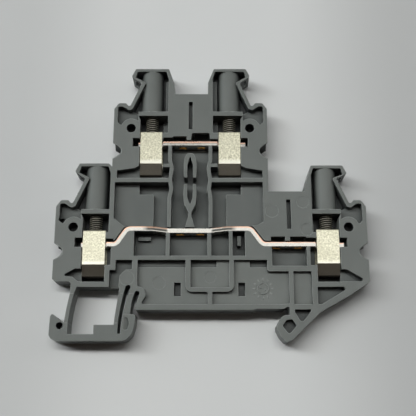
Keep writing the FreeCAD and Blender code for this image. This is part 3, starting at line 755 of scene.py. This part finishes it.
# %% Leg outlines
# In millimetres: the x of a leg's left edge at its top, middle and end, counted from
# hook_edge, then the same for its right edge, and then the height of its end.
hook_edge = -17.3
leg_root = 3.6
leaf_rows = 33
legs = {
    "foot_leg_outer": ((-13.3, -13.87, -14.3), (-12.4, -13.05, -13.45), -2.8),
    "foot_leg_middle": ((-2.65, -3.13, -3.5), (-1.6, -2.2, -2.63), -2.8),
    "foot_leg_hook": ((-0.57, -1.17, -1.65), (0.8, 0.17, 0.03), -0.9),
}


# %% Leaves
def leaf(name, left, right, end):
    """A curved leaf between two edges, each a parabola through three points.

    With h from 0 at the root to 1 at the end, an edge is
    x(h) = top * (1 - h)(1 - 2h) + middle * 4h(1 - h) + low * h(2h - 1).
    """
    h = np.linspace(0, 1, leaf_rows)[:, None]
    curve = np.concatenate([(1 - h) * (1 - 2 * h), 4 * h * (1 - h), h * (2 * h - 1)], axis=1)
    x0, x1 = (curve @ np.array(edge)[:, None] + hook_edge for edge in (left, right))
    low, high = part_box("rail_foot")
    y0, y1 = low[1] / mm, high[1] / mm
    z = leg_root + (end - leg_root) * h
    around = [(x0, y0), (x0, y1), (x1, y1), (x1, y0)]
    rings = np.stack([np.concatenate([x, y + 0 * x, z], axis=1) for x, y in around], axis=1)
    points, faces = lathe(rings * mm)
    made = piece("bending_" + name, points, faces, plastic, smooth=False)
    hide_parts(name)
    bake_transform(made)
    print(made.name, len(made.data.polygons), "faces")
    return made


for name, (left, right, end) in legs.items():
    leaf(name, left, right, end)

# %% [markdown]
# ## Mould clock
#
# On one floor a round insert of the mould has left a shallow ring with short ticks round it.
# It is a height over polar coordinates: a smooth ridge that goes all the way round, a wider
# one outside it that comes and goes twelve times, and one inside it that is left in two short
# bars. It carries no figures. The flat part is sunk a hair under the floor, so that only the
# ridges stand out of it. The back of the disc is further away than the edge radius of the
# plastic, because in a thinner disc the Bevel node would mix the normals of both sides.


# %% Ring with ticks
# Radii in millimetres, then heights in metres.
clock_edge, clock_end = 2.4, 2.45
ring_at, ticks_at, bars_at = 1.2, 2.05, 0.6
clock_height, clock_sunk, clock_back = 0.22 * mm, 0.02 * mm, 0.4 * mm


def mould_clock(x, z, floor):
    """A relief over a disc: height(r, a) = ring(r) + ticks(r) * comb(a) + bars(r) * pair(a).

    Each of ring, ticks and bars is exp(-((r - at) / width) ** 2). comb is a clipped cosine of
    12 a and pair a clipped cosine of 2 a. The sum is clipped to 1.
    """
    radius = np.linspace(0.02, clock_end, 90)[:, None] * mm
    angle = np.linspace(0, 2 * np.pi, 144, endpoint=False)[None, :]

    def ridge(at, width):
        return np.exp(-((radius - at * mm) / (width * mm)) ** 2)

    comb = np.clip(np.cos(12 * angle) * 2.2 - 1.2, 0, 1)
    pair = np.clip(np.cos(2 * angle + 0.8) * 3 - 2, 0, 1)
    height = ridge(ring_at, 0.13) + ridge(ticks_at, 0.28) * comb + ridge(bars_at, 0.35) * pair
    height = clock_height * np.clip(height, 0, 1) * (radius < clock_edge * mm)
    top = np.stack([x + radius * np.cos(angle), floor - height + clock_sunk,
                    z + radius * np.sin(angle)], axis=2)
    bottom = top[-1:].copy()
    bottom[..., 1] = floor + clock_back
    points, faces = lathe(np.concatenate([top, bottom]))
    made = piece("mould_clock", points, [f[:, ::-1] for f in faces], plastic)
    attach(made, "housing")
    return made


clock = mould_clock(11.65 * mm, 4.8 * mm, -1.5 * mm)
print("mould clock,", len(clock.data.polygons), "faces")

# %% [markdown]
# ## The table
#
# The block lies with its closed side on a pale table, so the table is a plane just behind
# it. From behind, the plane would hide the block, so it lets those views through. It also lets
# through rays shorter than 0.12 mm. They are those that leave the closed side, which lies
# 0.03 mm from the table: no light from behind could reach it otherwise, and it would be black.
#
# A real table under one lamp isn't evenly bright, so it is tinted darker towards its left and
# right sides.

# %% Table
reach, table_y = 1.5, 2.63 * mm
short_ray = 0.12 * mm
table_mesh = bpy.data.meshes.new("table")
table_mesh.from_pydata([(-reach, table_y, -reach), (reach, table_y, -reach),
                        (reach, table_y, reach), (-reach, table_y, reach)],
                       [], [(0, 1, 2, 3)])
table = bpy.data.objects.new("table", table_mesh)
bpy.context.scene.collection.objects.link(table)


def pale_table():
    """A matt pale card that is seen from its front only."""
    r = Recipe("pale_table")
    clouds = r.noise(14, 3, 0.5)
    tint = r.mix(r.rescale(clouds, 0.3, 0.7, 0, 1), rgb(0.70, 0.72, 0.73),
                 rgb(0.74, 0.755, 0.76))
    sideways = r.part(r.place, "X")
    left = r.rescale(sideways, -48 * mm, -18 * mm, 0.16, 0, smooth=True)
    right = r.rescale(sideways, 14 * mm, 50 * mm, 0, 0.26, smooth=True)
    tint = r.mix(r.math("ADD", left, right), tint, rgb(0.0, 0.0, 0.0))
    r.finish(Base_Color=tint, Roughness=0.75)
    clear = r.node("ShaderNodeBsdfTransparent").outputs["BSDF"]
    behind = r.node("ShaderNodeNewGeometry").outputs["Backfacing"]
    ray_length = r.node("ShaderNodeLightPath").outputs["Ray Length"]
    near = r.math("LESS_THAN", ray_length, short_ray)
    mixed = r.node("ShaderNodeMixShader", Fac=r.math("MAXIMUM", behind, near))
    r.tree.links.new(r.shader.outputs["BSDF"], mixed.inputs[1])
    r.tree.links.new(clear, mixed.inputs[2])
    output = r.tree.nodes["Material Output"]
    r.tree.links.new(mixed.outputs["Shader"], output.inputs["Surface"])
    return r.material


table_mesh.materials.append(pale_table())
print("table normal", tuple(round(v, 1) for v in table_mesh.polygons[0].normal))

# %% [markdown]
# ## Light
#
# A long ceiling lamp hangs in front of the open side, a little towards the top of the block
# and mostly to the left. Across the lamp the light is narrow, so a ledge that runs along X
# throws a short crisp shadow. Along the lamp it is wide, so walls that run along Z shade
# softly, more on their right. Polished metal would mirror so narrow a lamp as a glare, so
# reflections show a broad card from nearly the same direction instead. No real lamp is split
# like that: the lamp counts only for matt shading, and the card only for glossy shading. Two
# windows fill in from both sides, a back lamp serves the views from behind, and the sky adds a
# little from above and almost nothing from below, where the folded feet of the cages then
# mirror a dark room.


# %% Lamps and sky
block_middle = (0, 0, 0.025)


def lamp(name, direction, distance, size, watts, colour=(1, 1, 1), on=("diffuse", "glossy")):
    """A rectangular area lamp that looks at the middle of the block from one direction.

    Its place is middle + distance * direction / length of direction.
    """
    data = bpy.data.lights.new(name, "AREA")
    data.shape = "RECTANGLE"
    data.size, data.size_y = size
    data.energy = watts
    data.color = colour
    made = bpy.data.objects.new(name, data)
    away = mathutils.Vector(direction).normalized() * distance
    made.location = mathutils.Vector(block_middle) + away
    made.rotation_euler = away.to_track_quat("Z", "Y").to_euler()
    made.visible_diffuse = "diffuse" in on
    made.visible_glossy = "glossy" in on
    bpy.context.scene.collection.objects.link(made)
    return made


lamp_white = (1.0, 1.0, 0.97)
lamp("ceiling_lamp", (-0.36, -1, 0.33), 2.0, (2.8, 0.13), 35.0, lamp_white, ("diffuse",))
lamp("mirror_card", (-0.1, -1, 0.20), 1.0, (2.0, 0.34), 4.4, lamp_white, ("glossy",))
lamp("side_window", (-1.6, -1, 0.6), 2.0, (1.2, 0.5), 5.0, (0.86, 0.94, 1.0))
lamp("right_window", (1.5, -1, 0.5), 2.0, (0.8, 0.4), 2.5, (1.0, 0.98, 0.96))
lamp("back_lamp", (0.5, 1, 0.6), 0.8, (0.5, 0.5), 7.0)
print("lamps:", ", ".join(light.name for light in bpy.data.lights))

# %% Sky: pale above, dark below
world = bpy.data.worlds.new("sky")
bpy.context.scene.world = world
world.use_nodes = True
sky = world.node_tree
direction = sky.nodes.new("ShaderNodeTexCoord").outputs["Generated"]
upward = sky.nodes.new("ShaderNodeSeparateXYZ")
sky.links.new(direction, upward.inputs["Vector"])
ramp = sky.nodes.new("ShaderNodeValToRGB")
sky.links.new(upward.outputs["Z"], ramp.inputs["Fac"])
below, above = ramp.color_ramp.elements
below.position, below.color = 0.0, rgb(0.030, 0.024, 0.019)
above.position, above.color = 0.5, rgb(0.13, 0.135, 0.14)
sky.links.new(ramp.outputs["Color"], sky.nodes["Background"].inputs["Color"])

# %% End of the scene
print("scene built")
